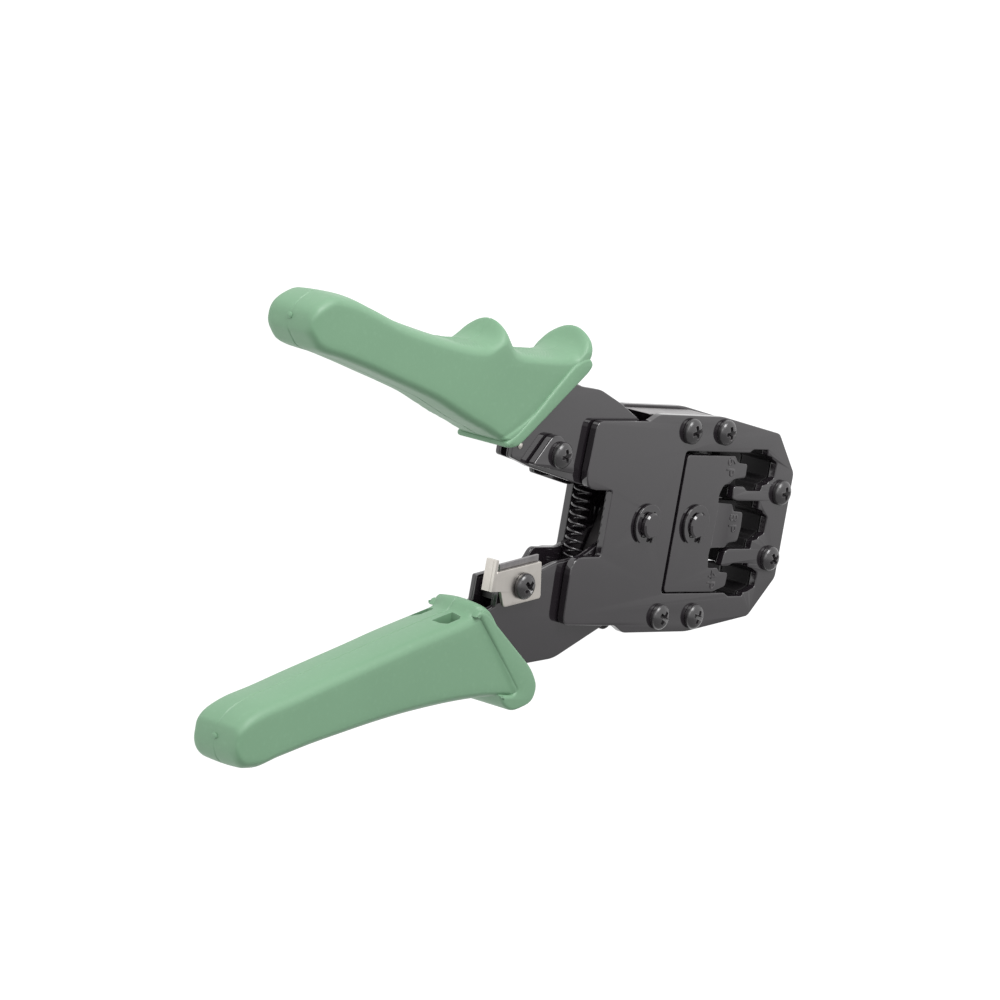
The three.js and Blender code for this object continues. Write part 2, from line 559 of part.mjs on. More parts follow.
add('upper_grip', grip(UPPER_GRIP, UPPER_COLLAR, UPPER_OUTLINE), GREEN_GRIP);
add('lower_grip', grip(LOWER_GRIP, LOWER_COLLAR, LOWER_OUTLINE), GREEN_GRIP);

export default tool;
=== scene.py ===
"""Looks for the modular-plug crimping tool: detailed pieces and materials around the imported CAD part.

Everything is in metres in the part's own frame: +X from the handles to the head, +Y from the lower handle
to the upper one, +Z from the rear plate to the front plate. Lengths below are written in millimetres and
multiplied by MM.
"""

import json
import math

import bmesh
import bpy
from mathutils import Matrix, Vector

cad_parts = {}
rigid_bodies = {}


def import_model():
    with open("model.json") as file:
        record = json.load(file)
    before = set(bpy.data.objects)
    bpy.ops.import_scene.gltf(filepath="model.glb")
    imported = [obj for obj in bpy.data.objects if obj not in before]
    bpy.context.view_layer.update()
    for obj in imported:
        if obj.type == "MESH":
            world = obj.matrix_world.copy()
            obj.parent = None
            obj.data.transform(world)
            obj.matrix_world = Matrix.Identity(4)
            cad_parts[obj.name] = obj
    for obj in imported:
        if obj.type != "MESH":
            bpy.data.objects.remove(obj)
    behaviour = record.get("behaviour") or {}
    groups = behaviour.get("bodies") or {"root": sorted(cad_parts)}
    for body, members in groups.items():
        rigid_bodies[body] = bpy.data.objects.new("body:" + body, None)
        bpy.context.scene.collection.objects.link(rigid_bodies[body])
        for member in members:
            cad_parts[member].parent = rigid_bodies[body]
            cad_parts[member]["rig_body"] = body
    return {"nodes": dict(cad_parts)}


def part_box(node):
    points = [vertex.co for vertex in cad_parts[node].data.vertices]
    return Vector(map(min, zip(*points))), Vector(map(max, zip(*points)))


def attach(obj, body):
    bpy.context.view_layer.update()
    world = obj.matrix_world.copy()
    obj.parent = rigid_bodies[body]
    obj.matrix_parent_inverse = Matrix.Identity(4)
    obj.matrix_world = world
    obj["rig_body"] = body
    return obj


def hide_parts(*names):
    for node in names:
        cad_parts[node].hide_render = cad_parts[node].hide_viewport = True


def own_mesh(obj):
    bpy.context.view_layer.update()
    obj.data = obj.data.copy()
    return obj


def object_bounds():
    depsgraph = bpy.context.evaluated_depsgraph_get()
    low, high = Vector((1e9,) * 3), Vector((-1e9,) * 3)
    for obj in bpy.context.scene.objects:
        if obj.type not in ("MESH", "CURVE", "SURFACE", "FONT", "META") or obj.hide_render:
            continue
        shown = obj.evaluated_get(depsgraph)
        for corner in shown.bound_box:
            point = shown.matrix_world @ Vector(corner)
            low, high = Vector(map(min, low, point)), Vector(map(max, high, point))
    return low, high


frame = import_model()
CAD_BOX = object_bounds()

MM = 0.001
NODES = frame["nodes"]
MID_Z = sum(corner.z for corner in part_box("front_plate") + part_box("rear_plate")) / 4


# ---------------------------------------------------------------- camera, lights and floor
CAMERA_AT = (-0.856227, 0.132668, 0.641090)
CAMERA_AHEAD = Vector((0.780875, -0.124392, -0.612177))
CAMERA_UP = Vector((-0.009178, 0.977583, -0.210349))
LENS = 163.504


def make_camera():
    data = bpy.data.cameras.new("camera")
    data.lens = LENS
    data.sensor_width = 36
    data.clip_start = 0.01
    data.clip_end = 20
    camera = bpy.data.objects.new("camera", data)
    bpy.context.scene.collection.objects.link(camera)
    right = CAMERA_AHEAD.cross(CAMERA_UP)
    turn = Matrix((right, CAMERA_UP, -CAMERA_AHEAD)).transposed()
    camera.matrix_world = Matrix.Translation(CAMERA_AT) @ turn.to_4x4()
    bpy.context.scene.camera = camera


def area_light(name, place, target, size, energy):
    data = bpy.data.lights.new(name, "AREA")
    data.shape = "DISK"
    data.size = size
    data.energy = energy
    light = bpy.data.objects.new(name, data)
    bpy.context.scene.collection.objects.link(light)
    light.location = place
    light.rotation_mode = "QUATERNION"
    light.rotation_quaternion = (Vector(target) - Vector(place)).to_track_quat("-Z", "Y")


WORLD_STRENGTH = 0.62
WORLD_RANGE = (0.72, 1.7)  # below and above the level that the tool's front faces mirror
WORLD_TURN = (-0.17, -0.09)
FLOOR_GLOW = 1.0


def light_the_scene():
    """A white room that is slightly brighter towards +Y, a near soft key from there, and a weak fill."""
    world = bpy.data.worlds.new("studio")
    world.use_nodes = True
    nodes, links = world.node_tree.nodes, world.node_tree.links
    background = nodes["Background"]
    background.inputs["Color"].default_value = (1, 1, 1, 1)
    split = nodes.new("ShaderNodeSeparateXYZ")
    links.new(nodes.new("ShaderNodeTexCoord").outputs["Generated"], split.inputs["Vector"])
    turn = nodes.new("ShaderNodeMapRange")
    for name, value in zip(("From Min", "From Max", "To Min", "To Max"), WORLD_TURN + WORLD_RANGE):
        turn.inputs[name].default_value = value
    links.new(split.outputs["Y"], turn.inputs["Value"])
    scaled = nodes.new("ShaderNodeMath")
    scaled.operation = "MULTIPLY"
    scaled.inputs[1].default_value = WORLD_STRENGTH
    links.new(turn.outputs["Result"], scaled.inputs[0])
    links.new(scaled.outputs["Value"], background.inputs["Strength"])
    bpy.context.scene.world = world
    middle = (-0.04, 0, 0)
    area_light("key", (-0.12, 0.52, 0.36), middle, 0.35, 2.6)
    area_light("fill", (-0.9, 0.5, 0.7), middle, 0.6, 1.5)
    bpy.context.scene.view_settings.view_transform = "Standard"
    bpy.context.scene.view_settings.look = "None"


def make_floor():
    mesh = bpy.data.meshes.new("floor")
    half = 3.0
    level = CAD_BOX[0].z - 0.2 * MM
    corners = [(-half, -half, level), (half, -half, level), (half, half, level), (-half, half, level)]
    mesh.from_pydata(corners, [], [(0, 1, 2, 3)])
    floor = bpy.data.objects.new("floor", mesh)
    bpy.context.scene.collection.objects.link(floor)
    material = bpy.data.materials.new("pale_floor")
    material.use_nodes = True
    shader = material.node_tree.nodes["Principled BSDF"]
    shader.inputs["Base Color"].default_value = (0.12, 0.12, 0.12, 1)
    shader.inputs["Roughness"].default_value = 0.9
    shader.inputs["Emission Color"].default_value = (1, 1, 1, 1)
    shader.inputs["Emission Strength"].default_value = FLOOR_GLOW
    mesh.materials.append(material)


# ---------------------------------------------------------------- materials
class Finish:
    """A node material with a Principled shader, and short calls for the nodes that drive it."""

    def __init__(self, name):
        self.material = bpy.data.materials.new(name)
        self.material.use_nodes = True
        self.tree = self.material.node_tree
        self.shader = self.tree.nodes["Principled BSDF"]
        self.place = self.tree.nodes.new("ShaderNodeTexCoord").outputs["Object"]

    def set(self, **values):
        for name, value in values.items():
            self.shader.inputs[name.replace("_", " ")].default_value = value
        return self

    def link(self, source, target):
        self.tree.links.new(source, target)

    def node(self, kind, **settings):
        made = self.tree.nodes.new("ShaderNode" + kind)
        for name, value in settings.items():
            setattr(made, name, value)
        return made

    def stretched(self, scale):
        mapping = self.node("Mapping")
        mapping.inputs["Scale"].default_value = scale
        self.link(self.place, mapping.inputs["Vector"])
        return mapping.outputs["Vector"]

    def noise(self, scale, detail=3.0, rough=0.5, along=None):
        made = self.node("TexNoise")
        made.inputs["Scale"].default_value = scale
        made.inputs["Detail"].default_value = detail
        made.inputs["Roughness"].default_value = rough
        self.link(along or self.place, made.inputs["Vector"])
        return made.outputs["Fac"]

    def spread(self, value, low, high, start=0.3, end=0.7):
        """The value, re-spread from start..end to low..high."""
        made = self.node("MapRange")
        for name, number in (("From Min", start), ("From Max", end), ("To Min", low), ("To Max", high)):
            made.inputs[name].default_value = number
        self.link(value, made.inputs["Value"])
        return made.outputs["Result"]

    def math(self, operation, first, second):
        made = self.node("Math", operation=operation)
        for socket, value in zip(made.inputs, (first, second)):
            if isinstance(value, float):
                socket.default_value = value
            else:
                self.link(value, socket)
        return made.outputs["Value"]

    def mix(self, share, first, second):
        made = self.node("Mix", data_type="RGBA")
        self.link(share, made.inputs["Factor"])
        for name, value in (("A", first), ("B", second)):
            socket = next(s for s in made.inputs if s.name == name and s.type == "RGBA")
            if isinstance(value, tuple):
                socket.default_value = (*value, 1)
            else:
                self.link(value, socket)
        return next(s for s in made.outputs if s.type == "RGBA")

    def edges(self, radius):
        """About 1 on an edge that a passing hand rubs, and 0 on a flat face."""
        rounded = self.node("Bevel", samples=4)
        rounded.inputs["Radius"].default_value = radius
        flat = self.node("NewGeometry").outputs["Normal"]
        lined = self.node("VectorMath", operation="DOT_PRODUCT")
        self.link(rounded.outputs["Normal"], lined.inputs[0])
        self.link(flat, lined.inputs[1])
        return self.spread(lined.outputs["Value"], 1.0, 0.0, 0.8, 0.99)

    def bump(self, height, distance, strength=1.0, before=None):
        made = self.node("Bump")
        made.inputs["Distance"].default_value = distance
        made.inputs["Strength"].default_value = strength
        self.link(height, made.inputs["Height"])
        if before:
            self.link(before, made.inputs["Normal"])
        return made.outputs["Normal"]

    def finish(self, colour=None, roughness=None, normal=None, metallic=None):
        for name, source in (
            ("Base Color", colour), ("Roughness", roughness), ("Normal", normal), ("Metallic", metallic),
        ):
            if source is not None:
                self.link(source, self.shader.inputs[name])
        return self.material


def lacquered_steel(name, dark, light, gloss, edge_colour, shine=1.0):
    """Stamped steel under a thin black lacquer: slight orange peel, cloudy gloss, rubbed edges."""
    look = Finish(name)
    clouds = look.noise(70, 4)
    grain = look.noise(900, 2)
    patches = look.spread(look.noise(260, 5, 0.7), 0.0, 1.0, 0.42, 0.62)
    worn = look.math("MULTIPLY", look.edges(0.35 * MM), patches)
    colour = look.mix(worn, look.mix(clouds, dark, light), edge_colour)
    gloss_low, gloss_high = gloss
    roughness = look.math(
        "ADD", look.spread(clouds, gloss_low, gloss_high), look.spread(grain, -0.01, 0.015))
    peel = look.bump(look.noise(260, 2), 0.006 * MM, 0.35)
    normal = look.bump(grain, 0.002 * MM, 0.4, peel)
    look.set(Specular_IOR_Level=shine)
    return look.finish(colour, roughness, normal)


def moulded_grip(name):
    """Satin moulded rubber: fine spark-eroded grain, faint flow clouds, slightly polished edges."""
    look = Finish(name)
    clouds = look.noise(38, 3)
    fine = look.noise(2600, 2, 0.6)
    colour = look.mix(clouds, (0.132, 0.262, 0.154), (0.156, 0.298, 0.179))
    speck = look.spread(look.noise(900, 2), 0.0, 0.25, 0.55, 0.75)
    colour = look.mix(speck, colour, (0.185, 0.335, 0.21))
    polished = look.edges(0.8 * MM)
    colour = look.mix(look.math("MULTIPLY", polished, 0.35), colour, (0.20, 0.35, 0.225))
    roughness = look.math(
        "SUBTRACT", look.spread(clouds, 0.44, 0.54), look.math("MULTIPLY", polished, 0.08))
    normal = look.bump(fine, 0.03 * MM, 0.5, look.bump(look.noise(120, 2), 0.05 * MM, 0.25))
    look.set(Specular_IOR_Level=0.65)
    return look.finish(colour, roughness, normal)


def bare_steel(name, dark, light, rough, grain_scale, brush):
    """Bare metal with its grinding lines along one direction, faint stains and brighter edges."""
    look = Finish(name)
    lines = look.noise(grain_scale, 3, 0.6, look.stretched(brush))
    stains = look.noise(120, 4, 0.6)
    colour = look.mix(lines, dark, light)
    colour = look.mix(look.spread(stains, 0.0, 0.35, 0.5, 0.75), colour, tuple(0.6 * v for v in dark))
    edge = look.edges(0.25 * MM)
    colour = look.mix(look.math("MULTIPLY", edge, 0.5), colour, tuple(min(1.0, 1.5 * v) for v in light))
    low, high = rough
    roughness = look.math("ADD", look.spread(lines, low, high), look.spread(stains, -0.03, 0.05))
    look.set(Metallic=1.0)
    return look.finish(colour, roughness, look.bump(lines, 0.01 * MM, 0.4))


BLACK = lacquered_steel(
    "black_lacquer", dark=(0.0105, 0.0082, 0.0105), light=(0.0155, 0.0125, 0.0155),
    gloss=(0.05, 0.09), edge_colour=(0.12, 0.11, 0.115))
SCREW_BLACK = lacquered_steel(
    "black_oxide", dark=(0.013, 0.0115, 0.013), light=(0.020, 0.018, 0.020),
    gloss=(0.22, 0.32), edge_colour=(0.17, 0.16, 0.165))
# A darker, matt copy of the black lacquer for the die block and ram. Its darker colour and weaker shine are
# painted shade, so these parts read as the deep shade inside the head.
SHADED_BLACK = lacquered_steel(
    "shaded_black_lacquer", dark=(0.0045, 0.0038, 0.0045), light=(0.0075, 0.0065, 0.0075),
    gloss=(0.5, 0.62), edge_colour=(0.03, 0.028, 0.03), shine=0.25)
GREEN = moulded_grip("green_moulding")
SILVER = bare_steel(
    "zinc_plate", dark=(0.56, 0.53, 0.49), light=(0.66, 0.63, 0.59),
    rough=(0.30, 0.40), grain_scale=500, brush=(1, 0.15, 1))
GROUND = bare_steel(
    "ground_steel", dark=(0.20, 0.19, 0.195), light=(0.33, 0.32, 0.325),
    rough=(0.30, 0.42), grain_scale=900, brush=(1, 0.06, 1))
DARK = bare_steel(
    "dark_steel", dark=(0.045, 0.042, 0.043), light=(0.085, 0.080, 0.082),
    rough=(0.30, 0.45), grain_scale=400, brush=(0.3, 1, 1))
LOOKS = {
    "black_steel": BLACK, "black_screw": SCREW_BLACK, "green_grip": GREEN,
    "bright_steel": SILVER, "ground_steel": GROUND, "dark_steel": DARK,
}


# ---------------------------------------------------------------- mesh tools
def body_of(node):
    return NODES[node]["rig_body"]


def show(name, mesh, slot, node, *others, weighted=True, look=None):
    """Puts a finished mesh in the scene in place of one or more CAD nodes of one body."""
    mesh.materials.clear()
    mesh.materials.append(look or LOOKS[slot])
    for face in mesh.polygons:
        face.use_smooth = True
    mesh.set_sharp_from_angle(angle=math.radians(40))
    obj = bpy.data.objects.new(name, mesh)
    bpy.context.scene.collection.objects.link(obj)
    if weighted:
        modifier = obj.modifiers.new("even_faces", "WEIGHTED_NORMAL")
        modifier.keep_sharp = True
    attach(obj, body_of(node))
    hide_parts(node, *others)
    return obj


def levels_of(node):
    """The heights of the node's level faces, lowest first."""
    mesh = NODES[node].data
    found = sorted(f.center.z for f in mesh.polygons if abs(f.normal.z) > 0.999)
    heights = []
    for z in found:
        if not heights or z - heights[-1] > 0.02 * MM:
            heights.append(z)
    return heights


def straightened(points):
    """The loop without the points that lie on a straight run."""
    kept = []
    for i, here in enumerate(points):
        into = (here - points[i - 1]).normalized()
        out = (points[(i + 1) % len(points)] - here).normalized()
        if into.dot(out) < math.cos(math.radians(0.6)):
            kept.append(here)
    return kept


def section(node, height):
    """Closed outlines where a level plane cuts the CAD node."""
    work = bmesh.new()
    work.from_mesh(NODES[node].data)
    bmesh.ops.remove_doubles(work, verts=work.verts, dist=1e-6)
    cut = bmesh.ops.bisect_plane(
        work, geom=work.verts[:] + work.edges[:] + work.faces[:], dist=1e-8,
        plane_co=(0, 0, height), plane_no=(0, 0, 1))
    beside = {}
    for edge in cut["geom_cut"]:
        if isinstance(edge, bmesh.types.BMEdge):
            for a, b in (edge.verts, reversed(edge.verts)):
                beside.setdefault(a, []).append(b)
    loops = []
    waiting = set(beside)
    while waiting:
        here = waiting.pop()
        loop = [here]
        while True:
            onward = [v for v in beside[here] if v in waiting]
            if not onward:
                break
            here = onward[0]
            waiting.discard(here)
            loop.append(here)
        points = straightened([v.co.xy.copy() for v in loop])
        if len(points) > 2:
            loops.append(points)
    work.free()
    return loops


def area_of(loop):
    return abs(sum(a[0] * b[1] - a[1] * b[0] for a, b in zip(loop, loop[1:] + loop[:1]))) / 2


def slab(loops, low, high, bevel, steps=2):
    """A sheet with those outlines and holes between two heights, its edges rounded by the bevel radius."""
    areas = sorted((area_of(loop) for loop in loops), reverse=True)
    least = 0.55 * max(2 * areas[0] - sum(areas), 0)
    for attempt in range(8):
        mesh = filled(loops, low, high, bevel * (1 - 0.06 * attempt), steps, attempt)
        level = sum(face.area for face in mesh.polygons if face.normal.z > 0.99)
        if level > least:
            return mesh
    return mesh


def filled(loops, low, high, bevel, steps, start):
    """One try at the sheet: each outline begins at its point number start."""
    curve = bpy.data.curves.new("outline", "CURVE")
    curve.dimensions = "2D"
    curve.fill_mode = "BOTH"
    curve.extrude = (high - low) / 2 - bevel
    curve.bevel_depth = bevel
    curve.bevel_resolution = steps
    curve.offset = -bevel
    for loop in loops:
        turned = loop[start % len(loop):] + loop[:start % len(loop)]
        spline = curve.splines.new("POLY")
        spline.points.add(len(turned) - 1)
        for point, (x, y) in zip(spline.points, turned):
            point.co = (x, y, 0, 1)
        spline.use_cyclic_u = True
    carrier = bpy.data.objects.new("outline", curve)
    mesh = bpy.data.meshes.new_from_object(carrier)
    mesh.transform(Matrix.Translation((0, 0, (low + high) / 2)))
    bpy.data.objects.remove(carrier)
    bpy.data.curves.remove(curve)
    return mesh


def joined(name, meshes):
    work = bmesh.new()
    for mesh in meshes:
        work.from_mesh(mesh)
    bmesh.ops.remove_doubles(work, verts=work.verts, dist=1e-7)
    whole = bpy.data.meshes.new(name)
    work.to_mesh(whole)
    work.free()
    return whole


def stamped(name, node, slot, bevel, look=None):
    """The CAD node again, as sheets with rounded edges: one sheet between each two of its levels."""
    heights = levels_of(node)
    sheets = []
    for low, high in zip(heights, heights[1:]):
        radius = min(bevel, (high - low) * 0.4)
        sheets.append(slab(section(node, (low + high) / 2), low, high, radius))
    return show(name, joined(name, sheets), slot, node, look=look)


def spun(profile, sides=48):
    """A turned mesh about the Z axis through the origin, from (radius, height) points."""
    work = bmesh.new()
    rings = []
    for radius, height in profile:
        if radius < 1e-9:
            rings.append([work.verts.new((0, 0, height))])
            continue
        ring = []
        for i in range(sides):
            angle = 2 * math.pi * i / sides
            ring.append(work.verts.new((radius * math.cos(angle), radius * math.sin(angle), height)))
        rings.append(ring)
    for lower, upper in zip(rings, rings[1:]):
        for i in range(sides):
            corners = [lower[i % len(lower)], lower[(i + 1) % len(lower)],
                       upper[(i + 1) % len(upper)], upper[i % len(upper)]]
            distinct = list(dict.fromkeys(corners))
            if len(distinct) > 2:
                work.faces.new(distinct)
    bmesh.ops.recalc_face_normals(work, faces=work.faces)
    mesh = bpy.data.meshes.new("turned")
    work.to_mesh(mesh)
    work.free()
    return mesh


def middle_of(node):
    low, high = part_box(node)
    return (low + high) / 2


def arc(centre, radius, start, end, steps):
    """Points on an arc, in degrees from +X."""
    angles = [math.radians(start + (end - start) * i / steps) for i in range(steps + 1)]
    return [(centre[0] + radius * math.cos(a), centre[1] + radius * math.sin(a)) for a in angles]


def less(base, cutter):
    """The base mesh with the cutter mesh taken away."""
    pair = [bpy.data.objects.new("work", mesh) for mesh in (base, cutter)]
    for obj in pair:
        bpy.context.scene.collection.objects.link(obj)
    modifier = pair[0].modifiers.new("cut", "BOOLEAN")
    modifier.object = pair[1]
    modifier.operation = "DIFFERENCE"
    modifier.solver = "EXACT"
    bpy.context.view_layer.update()
    made = bpy.data.meshes.new_from_object(pair[0].evaluated_get(bpy.context.evaluated_depsgraph_get()))
    for obj in pair:
        bpy.data.objects.remove(obj)
    return made


def rounded(corners, steps=4):
    """A closed outline in metres through (x, y, rounding) corners in millimetres."""
    loop = []
    for i, (x, y, reach) in enumerate(corners):
        here = Vector((x, y))
        ends = []
        for other in (corners[i - 1], corners[(i + 1) % len(corners)]):
            side = Vector(other[:2]) - here
            ends.append(here + side.normalized() * min(reach, 0.45 * side.length))
        if reach == 0:
            loop.append(here * MM)
            continue
        for step in range(steps + 1):
            t = step / steps
            loop.append((ends[0] * (1 - t) ** 2 + here * 2 * t * (1 - t) + ends[1] * t ** 2) * MM)
    return loop


# ---------------------------------------------------------------- plates, blocks and channels
PLATE_EDGE = 0.28 * MM
CHEEK_EDGE = 0.3 * MM
SMALL_EDGE = 0.15 * MM


def build_sheets():
    for node in ("front_plate", "rear_plate"):
        stamped(node + "_sheet", node, "black_steel", PLATE_EDGE)
    for node in ("upper_spacer", "lower_spacer"):
        stamped(node + "_bar", node, "ground_steel", SMALL_EDGE)
    # The die block and ram get the darker copy of the black lacquer, which is painted shade.
    stamped("die_block_body", "die_block", "black_steel", SMALL_EDGE, SHADED_BLACK)
    stamped("slide_rear_sheet", "slide_rear_plate", "black_steel", SMALL_EDGE)
    stamped("ram_body", "ram_block", "black_steel", SMALL_EDGE, SHADED_BLACK)
    for ways in ("8p", "6p", "4p"):
        stamped(f"punch_{ways}", f"crimp_punch_{ways}", "ground_steel", 0.05 * MM)
    for node in ("upper_handle", "lower_handle"):
        stamped(node + "_channel", node, "black_steel", CHEEK_EDGE)
    stamped("toggle_arm_body", "toggle_arm", "dark_steel", CHEEK_EDGE)
    for node in ("upper_spring_seat", "lower_spring_seat", "blade_nut", "anvil_nut"):
        stamped(node + "_body", node, "dark_steel", SMALL_EDGE)
    stamped("blade_sheet", "blade", "ground_steel", 0.06 * MM)
    stamped("anvil_sheet", "anvil_plate", "black_steel", 0.4 * MM)
    stamped("wire_stop_sheet", "wire_stop", "bright_steel", 0.16 * MM)


# ---------------------------------------------------------------- slide face with its plug marks
RAMP_DEPTH = 0.5
RAMP_X = (27.4, 31.0, 33.2)  # left wall, foot of the ramp, top of the ramp
RAMP_Y = (-6.6, 5.6)
MARK_SIZE = 3.3
MARK_RELIEF = 0.1
MARKS = (("6P", 28.2, 16.6), ("8P", 33.0, 2.9), ("4P", 28.4, -11.2))


def prism(profile, near, far):
    """A closed bar along Y between two places, with an (x, z) profile that turns left."""
    work = bmesh.new()
    rings = [[work.verts.new((x * MM, y * MM, z)) for x, z in profile] for y in (near, far)]
    count = len(profile)
    for i in range(count):
        k = (i + 1) % count
        work.faces.new((rings[0][i], rings[0][k], rings[1][k], rings[1][i]))
    work.faces.new(reversed(rings[0]))
    work.faces.new(rings[1])
    bmesh.ops.recalc_face_normals(work, faces=work.faces)
    mesh = bpy.data.meshes.new("bar")
    work.to_mesh(mesh)
    work.free()
    return mesh


def mark(text, x, y, level):
    """Two raised characters that read towards -Y."""
    curve = bpy.data.curves.new("mark", "FONT")
    curve.body = text
    curve.size = MARK_SIZE * 1.35 * MM
    curve.space_character = 1.15
    curve.extrude = MARK_RELIEF * MM
    curve.bevel_depth = 0.04 * MM
    curve.offset = -0.02 * MM
    carrier = bpy.data.objects.new("mark", curve)
    mesh = bpy.data.meshes.new_from_object(carrier)
    bpy.data.objects.remove(carrier)
    mesh.transform(Matrix.Translation((x * MM, y * MM, level)) @ Matrix.Rotation(math.radians(-90), 4, "Z"))
    return mesh


def build_slide_face():
    node = "slide_front_plate"
    heights = levels_of(node)
    low, top = heights[0], heights[-1]
    body = slab(section(node, (low + heights[1]) / 2), low, top, SMALL_EDGE)
    left, foot, high = RAMP_X
    floor, over = top - RAMP_DEPTH * MM, top + 1.0 * MM
    profile = [(left, floor), (foot, floor), (high, top), (high, over), (left, over)]
    body = less(body, prism(profile, *RAMP_Y))
    pieces = [body] + [mark(text, x, y, top) for text, x, y in MARKS]
    show("slide_front_sheet", joined("slide_front_sheet", pieces), "black_steel", node)


# ---------------------------------------------------------------- screws, pins and rings
HEAD_HEIGHT = 2.1
RIM_HEIGHT = 0.62  # from the seat to where the head starts to dome
CROWN_STEPS = 9
SHANK_R = 1.4
RECESS_ARM = 2.0
RECESS_HALF = 0.48
RECESS_DEPTH = 1.4


def cross_recess(top):
    """A cross that narrows downwards, as one closed cutting tool."""
    work = bmesh.new()
    rings = []
    for height, long, wide in ((top - RECESS_DEPTH * MM, 0.4, 0.62), (top + 0.5 * MM, 1.1, 1.25)):
        a, h = RECESS_ARM * long * MM, RECESS_HALF * wide * MM
        quarter = [(a, -h), (a, h), (h, h)]
        ring = []
        for turn in range(4):
            for x, y in quarter:
                for _ in range(turn):
                    x, y = -y, x
                ring.append(work.verts.new((x, y, height)))
        rings.append(ring)
    for i in range(12):
        k = (i + 1) % 12
        work.faces.new((rings[0][i], rings[0][k], rings[1][k], rings[1][i]))
    work.faces.new(reversed(rings[0]))
    work.faces.new(rings[1])
    bmesh.ops.recalc_face_normals(work, faces=work.faces)
    mesh = bpy.data.meshes.new("recess")
    work.to_mesh(mesh)
    work.free()
    return mesh


def pan_screw(name, node, turn):
    """A pan-head cross-recess screw in the place of the CAD screw."""
    low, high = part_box(node)
    radius = (high.x - low.x) / 2 / MM
    seat = high.z / MM - HEAD_HEIGHT
    tip = low.z / MM
    foot = [(radius - 0.05 + 0.05 * math.sin(a), seat + 0.12 - 0.12 * math.cos(a)) for a in (0.0, 0.8)]
    crown = []
    for i in range(CROWN_STEPS + 1):
        angle = math.radians(90 * i / CROWN_STEPS)
        rise = (HEAD_HEIGHT - RIM_HEIGHT) * math.sin(angle) ** 1.1
        crown.append((radius * math.cos(angle) ** 0.8, seat + RIM_HEIGHT + rise))
    crown[-1] = (0, crown[-1][1])
    shank = [(0, tip), (SHANK_R - 0.3, tip), (SHANK_R, tip + 0.3), (SHANK_R, seat)]
    profile = [*shank, *foot, (radius, seat + 0.3), *crown]
    solid = spun([(r * MM, z * MM) for r, z in profile], 40)
    mesh = less(solid, cross_recess(high.z))
    centre = middle_of(node)
    turned = Matrix.Rotation(math.radians(turn), 4, "Z")
    mesh.transform(Matrix.Translation((centre.x, centre.y, 0)) @ turned)
    return show(name, mesh, "black_screw", node)


PIN_R = 3.05 * MM
GROOVE_R = 2.3 * MM
PIN_EDGE = 0.3 * MM
PIN_CHAMFER = 0.4 * MM
GROOVE_PLAY = 0.15 * MM


def headed_pin(name, node, ring_node):
    """A headed pin with a ring groove and a flat, chamfered end."""
    low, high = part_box(node)
    ring_low, ring_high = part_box(ring_node)
    head_r = (high.x - low.x) / 2
    head_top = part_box("rear_plate")[0].z - 0.2 * MM
    groove = (ring_low.z - GROOVE_PLAY, ring_high.z + GROOVE_PLAY)
    profile = [
        (0, low.z), (head_r - PIN_EDGE, low.z), (head_r, low.z + PIN_EDGE), (head_r, head_top),
        (PIN_R, head_top), (PIN_R, groove[0]), (GROOVE_R, groove[0]), (GROOVE_R, groove[1]),
        (PIN_R, groove[1]), (PIN_R, high.z - PIN_CHAMFER), (PIN_R - PIN_CHAMFER, high.z), (0, high.z),
    ]
    mesh = spun(profile, 56)
    centre = middle_of(node)
    mesh.transform(Matrix.Translation((centre.x, centre.y, 0)))
    return show(name, mesh, "black_steel", node)


def snap_ring(name, node):
    """An open E-ring: a round rim, three inward lugs and a mouth towards -Y."""
    low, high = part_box(node)
    outer = (high.x - low.x) / 2
    axis = (middle_of(node).x, high.y - outer)
    lug, hollow = 2.42 * MM, 3.35 * MM
    points = arc(axis, outer, -64, 244, 44)
    inner = [*arc(axis, hollow, 222, 196, 4), *arc(axis, lug, 190, 170, 3), *arc(axis, hollow, 164, 112, 8),
             *arc(axis, lug, 106, 74, 4), *arc(axis, hollow, 68, 16, 8), *arc(axis, lug, 10, -10, 3),
             *arc(axis, hollow, -16, -42, 4)]
    loop = [Vector(p) for p in points + inner]
    return show(name, slab([loop], low.z, high.z, 0.12 * MM), "black_steel", node)


def build_fasteners():
    turns = (20, 12, 62, 75, 8, 35)
    for i, turn in enumerate(turns, start=1):
        pan_screw(f"plate_screw_{i}_pan", f"plate_screw_{i}", turn)
    pan_screw("anvil_screw_pan", "anvil_screw", 15)
    pan_screw("wire_stop_screw_pan", "wire_stop_screw", 50)
    headed_pin("pivot_pin_turned", "pivot_pin", "pivot_ring")
    headed_pin("ram_pin_turned", "ram_pin", "ram_ring")
    snap_ring("pivot_snap_ring", "pivot_ring")
    snap_ring("ram_snap_ring", "ram_ring")
    for node in ("arm_rivet", "link_pin"):
        low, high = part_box(node)
        r, edge = (high.x - low.x) / 2, 0.25 * MM
        half = [(0, low.z), (r - edge, low.z), (r, low.z + edge)]
        mesh = spun([*half, (r, high.z - edge), (r - edge, high.z), (0, high.z)], 40)
        centre = middle_of(node)
        mesh.transform(Matrix.Translation((centre.x, centre.y, 0)))
        show(node + "_turned", mesh, "dark_steel", node)


# ---------------------------------------------------------------- return spring
SPRING_WIRE = 0.3 * MM
SPRING_COILS = 14
CLOSED_TURNS = 1.6  # turns at each end that lie against each other
TURN_STEPS = 28


